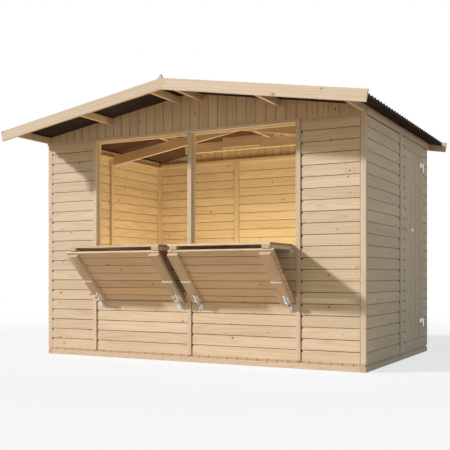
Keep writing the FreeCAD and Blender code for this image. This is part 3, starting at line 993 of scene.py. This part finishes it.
def roofNails(home, start, run):
    # Nails stand on the wave crests over each purlin, on both slopes
    low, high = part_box("right_roof_sheet")
    source = makeNail()
    parts = []
    crests = int((high.y - low.y) / roof["wave"])
    for node in ("eaves_purlins", "middle_purlins", "ridge_purlins"):
        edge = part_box(node)[1].x
        along = (edge - roof["nailBack"] - start) / math.cos(math.radians(roof["pitch"]))
        rise = roof["height"] / 2 - roof["nailSink"]
        if node == "ridge_purlins":
            # These go through the ridge cap
            along += roof["ridgeNailShift"]
            rise += roof["ridgeNailLift"]
        rise += roof["eaveRise"] * min(along / run, 1)
        for crest in range(1, crests, roof["wavesPerNail"]):
            place = home @ Matrix.Translation((along, crest * roof["wave"], rise))
            parts += [copyOf(source, place), mirror(copyOf(source, place))]
    remove(source)
    finishPiece(joinAll("roofNails", parts), "kiosk", "bitumen_sheet", nailCap)


def roofPieces():
    right = roofSheet("right_roof_sheet", 1)
    roofSheet("left_roof_sheet", -1)
    cap = softened("ridge_cap", roof["capEase"], angle=40)
    smooth(cap, 35)
    finishPiece(cap, "kiosk", "bitumen_sheet", bitumen, "ridge_cap")
    roofNails(*right)


# Steel: screws, and the bolts, wall plates, hinges and straps of the counters
fitting = {
    "ease": 0.0005, "plate": 0.0025, "screwRadius": 0.0035, "screwHeight": 0.0012,
    "screwRim": 0.22, "screwDome": 0.0003, "recessRim": 0.36, "recessDepth": 0.0007,
    "boltShift": 0.018, "plateScrewOut": 0.0148, "plateScrewUp": (0.0235, 0.0875),
    "rodOut": 0.007, "guideUp": (0.031, 0.080), "guideReach": 0.0115, "guideWidth": 0.011,
    "guideRise": 0.0095, "guideBend": 0.007, "keeperHalf": 0.017, "keeperLow": 0.4385,
    "keeperHigh": 0.5005, "keeperGap": 0.0004, "keeperRise": 0.011, "keeperTaper": 0.8,
    "keeperScrew": 0.007, "strapUp": 0.275, "strapDrop": 0.022, "strapScrewOut": 0.036,
    "hingeScrewIn": 0.014, "hingeScrewOut": 0.0345, "hingeScrewDrop": 0.0028,
}


def makeScrew():
    # A pan head with a recess, its underside at the origin, pointing along +Z
    radius, height = fitting["screwRadius"], fitting["screwHeight"]
    obj = addRound(radius, height, (0, 0, height / 2))
    pick(obj, "FACE", pickTop)
    bpy.ops.mesh.inset(thickness=radius * fitting["screwRim"])
    bpy.ops.transform.translate(value=(0, 0, fitting["screwDome"]))
    bpy.ops.mesh.inset(thickness=radius * fitting["recessRim"])
    extrudeBy(0, 0, -fitting["recessDepth"])
    endEdit()
    return obj


def facingMatrix(place, out):
    return Matrix.Translation(place) @ Vector(out).to_track_quat("Z", "Y").to_matrix().to_4x4()


def steelPiece(node, body, ease, screws=(), extra=(), shape=None):
    # A CAD node's steel with a screw at each place and the pieces that belong to it
    obj = softened(node, ease, angle=35)
    if shape:
        shape(obj)
    source = makeScrew()
    heads = [copyOf(source, facingMatrix(place, out)) for place, out in screws]
    remove(source)
    obj = joinAll(node + "Steel", [obj] + heads + list(extra))
    smooth(obj, 35)
    finishPiece(obj, body, "zinc_steel", steel, node)


door = {
    "firstBoard": 0.0518, "ledgeEase": 0.002, "plate": 0.003, "leafScrews": (0.014, 0.042),
    "jambScrew": 0.008, "hingeEase": 0.0006, "knobEase": 0.0012,
    "roseRadius": 0.0125, "roseThick": 0.003, "roseStep": 0.003, "roseRise": 0.0015,
}


def doorPieces():
    low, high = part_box("door_leaf")
    home = homeAt((low.x, high.y, low.z), (0, 0, 1), (1, 0, 0))
    parts = stackRows(home, high.z - low.z, high.y - low.y, high.x - low.x,
                      first=door["firstBoard"])
    boardPiece("doorBoards", parts, "door_leaf", "door")
    finishPiece(softened("door_ledges", door["ledgeEase"]), "door", "planed_timber",
                timberWood, "door_ledges")
    face = high.x + door["plate"]
    leafScrews = [((face, a.y + y, (a.z + b.z) / 2), (1, 0, 0))
                  for a, b in partBoxes("door_hinge_leaves") for y in door["leafScrews"]]
    steelPiece("door_hinge_leaves", "door", door["hingeEase"], leafScrews)
    jambScrews = [((face, b.y - door["jambScrew"], (a.z + b.z) / 2), (1, 0, 0))
                  for a, b in partBoxes("jamb_hinge_leaves")]
    steelPiece("jamb_hinge_leaves", "kiosk", door["hingeEase"], jambScrews)
    a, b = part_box("door_knob")
    place = (high.x + door["roseThick"] / 2, (a.y + b.y) / 2, (a.z + b.z) / 2)
    rose = addRound(door["roseRadius"], door["roseThick"], place, sides=32, turn=90)
    pick(rose, "FACE", lambda center, normal: normal.x > 0.9)
    bpy.ops.mesh.inset(thickness=door["roseStep"])
    extrudeBy(door["roseRise"], 0, 0)
    bpy.ops.mesh.inset(thickness=door["roseStep"])
    endEdit()
    steelPiece("door_knob", "door", door["knobEase"], extra=[rose])


def boltGuide(home, x, face, z):
    # A pressed saddle that holds the bolt's rod on its plate
    rod = face - fitting["rodOut"]
    reach, half = fitting["guideReach"], fitting["guideWidth"] / 2
    obj = addBlock("guide", (x - reach, rod - fitting["guideRise"], z - half),
                   (x + reach, face, z + half))
    pick(obj, "EDGE", lambda a, b: abs(a.z - b.z) > half and max(a.y, b.y) < rod)
    bpy.ops.mesh.bevel(offset=fitting["guideBend"], segments=4, affect="EDGES")
    endEdit()
    obj.data.transform(home)
    return obj


def boltKeeper(x, wallFace, screws):
    # A wall plate with a raised loop that takes the bolt's end
    half, bottom, top = fitting["keeperHalf"], fitting["keeperLow"], fitting["keeperHigh"]
    face = wallFace - fitting["plate"]
    obj = addBlock("keeper", (x - half, face, bottom),
                   (x + half, wallFace - fitting["keeperGap"], top))
    pick(obj, "FACE", lambda center, normal: normal.y < -0.9)
    bpy.ops.mesh.inset(thickness=half * 0.5)
    extrudeBy(0, -fitting["keeperRise"], 0)
    bpy.ops.transform.resize(value=(fitting["keeperTaper"], 1, fitting["keeperTaper"]))
    endEdit()
    for z in (bottom + fitting["keeperScrew"], top - fitting["keeperScrew"]):
        screws.append(((x, face, z), (0, -1, 0)))
    return obj


def lowerStraps(obj, node):
    # The straps sit a little lower on the leaves than the solids have them, as in the photo
    home, width = braceHome(node)[::2]
    points = pointsOf(obj.data)
    label = looseParts(obj.data)
    drop = home.to_3x3() @ Vector((0, 0, -fitting["strapDrop"]))
    for part in np.unique(label):
        mine = label == part
        middle = Vector((points[mine].min(0) + points[mine].max(0)) / 2)
        x, y, z = home.inverted() @ middle
        if -0.02 < x < width + 0.02 and -0.06 < y < -0.04 and abs(z - fitting["strapUp"]) < 0.03:
            points[mine] += np.array(drop)
    obj.data.vertices.foreach_set("co", points.ravel())
    obj.data.update()


def counterSteel():
    # Screws on the bolt plates and wall hinges, guides over the bolts and their wall plates
    screws = []
    extra = []
    braces = {"left_counter_brace": -1, "right_counter_brace": 1}
    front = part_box("front_wall_right")[0].y
    face = -leaf["thick"] - leaf["batten"] - fitting["plate"]
    strapUp = fitting["strapUp"] - fitting["strapDrop"]
    for node, side in braces.items():
        home = braceHome(node)[0]
        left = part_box(node)[0].x
        out = home.to_3x3() @ Vector((0, -1, 0))
        for a, b in partBoxes("brace_battens"):
            if (a.x > 0) != (side > 0):
                continue
            middle = (a.x + b.x) / 2 - left
            x = middle + side * fitting["boltShift"]
            for z in fitting["guideUp"]:
                extra.append(boltGuide(home, x, face, z))
            for dx in (-fitting["plateScrewOut"], fitting["plateScrewOut"]):
                for z in fitting["plateScrewUp"]:
                    screws.append((home @ Vector((x + dx, face, z)), out))
            extra.append(boltKeeper(left + x, front, screws))
            for dx in (-fitting["strapScrewOut"], fitting["strapScrewOut"]):
                screws.append((home @ Vector((middle + dx, face, strapUp)), out))
    for a, b in partBoxes("counter_battens"):
        for x in (a.x + fitting["hingeScrewIn"], b.x - fitting["hingeScrewIn"]):
            screws.append(((x, front - fitting["hingeScrewOut"], a.z - fitting["hingeScrewDrop"]),
                           (0, 0, -1)))
    steelPiece("counter_fittings", "kiosk", fitting["ease"], screws, extra,
               lambda obj: [lowerStraps(obj, node) for node in braces])


addCamera()
wallBoards()
gableBoards()
print("kiosk: walls boarded")
floorBoards()
timberFrame()
counterLeaves()
print("kiosk: timber done")
roofPieces()
print("kiosk: roof done")
doorPieces()
counterSteel()
print("kiosk: steel done")


# Studio: a sun from the front left, a soft surround, a lamp in the room and a pale floor
studio = {
    "sunTo": (0.705, 0.495, -0.507), "sunSize": 4.0, "sun": (3.2, 3.24, 3.5),
    "around": (0.03, 0.04, 0.06), "above": (0.04, 0.04, 0.04), "front": (0.38, 0.4, 0.26),
    "right": (0.1, 0.24, 0.36),
    "lamp": (42.0, 39.0, 25.0), "lampPlace": (0.1, 0.05, 0.2), "lampSize": (2.3, 1.2),
    "lampTilt": 18,
    "bounce": (0.6, 0.43, 0.26), "floorTone": (0.9, 0.9, 0.9), "floorRough": 0.9,
    "floorSize": 120, "floorDrop": 0.0005, "floorGlow": 0.7, "glowFrom": 3.0, "glowTo": 7.0,
}


def lampColor(light, values):
    # The strongest channel is the lamp's power, the rest its colour
    light.energy = max(values)
    light.color = [value / max(values) for value in values]


def addStudio():
    way = Vector(studio["sunTo"])
    bpy.ops.object.light_add(type="SUN", rotation=way.to_track_quat("-Z", "Y").to_euler())
    sun = bpy.context.object
    lampColor(sun.data, studio["sun"])
    sun.data.angle = math.radians(studio["sunSize"])
    bpy.ops.object.light_add(type="AREA", location=studio["lampPlace"],
                             rotation=(math.radians(180 - studio["lampTilt"]), 0, 0))
    lamp = bpy.context.object
    lampColor(lamp.data, studio["lamp"])
    lamp.data.shape = "RECTANGLE"
    lamp.data.size, lamp.data.size_y = studio["lampSize"]
    lamp.visible_camera = False
    lamp.visible_glossy = False


def addSurround():
    # A fill that is stronger from above, the front and the right, and white where it is seen
    world = bpy.data.worlds.new("surround")
    bpy.context.scene.world = world
    sheet = NodeSheet(world, "ShaderNodeOutputWorld", "ShaderNodeBackground")
    parts = sheet.split(sheet.place("Generated"))
    color = studio["around"] + (1,)
    for key, axis, low, high in (("above", 2, 0.0, 1.0), ("front", 1, 0.1, -1.0),
                                 ("right", 0, -0.1, 1.0)):
        share = sheet.span(parts[axis], low, high)
        color = sheet.blend(share, color, studio[key] + (1,), "ADD")
    sheet.feed(sheet.shader.inputs["Color"], color)
    white = sheet.add("ShaderNodeBackground")
    white.inputs["Color"].default_value = (1, 1, 1, 1)
    sheet.mixShaders(sheet.seenRays(), sheet.shader.outputs[0], white.outputs[0])


def addFloor():
    # Pale where it is seen, fading to the white of the surround further out
    bpy.ops.mesh.primitive_plane_add(size=studio["floorSize"],
                                     location=(0, 0, -studio["floorDrop"]))
    floor = bpy.context.object
    floor.name = "studioFloor"
    sheet = NodeSheet(bpy.data.materials.new("studioFloorPaint"))
    seen = sheet.seenRays()
    sheet.paint(sheet.blend(seen, studio["bounce"] + (1,), studio["floorTone"] + (1,)),
                studio["floorRough"])
    away = sheet.add("ShaderNodeVectorMath", operation="LENGTH")
    sheet.feed(away.inputs[0], sheet.place())
    fade = sheet.span(away.outputs["Value"], studio["glowFrom"], studio["glowTo"],
                      studio["floorGlow"], 1)
    glow = sheet.add("ShaderNodeEmission")
    sheet.mixShaders(sheet.times(seen, fade), sheet.shader.outputs[0], glow.outputs[0])
    floor.data.materials.append(sheet.owner)


addStudio()
addSurround()
addFloor()
bpy.context.scene.view_settings.view_transform = "Standard"
bpy.context.view_layer.update()
print("kiosk: done")
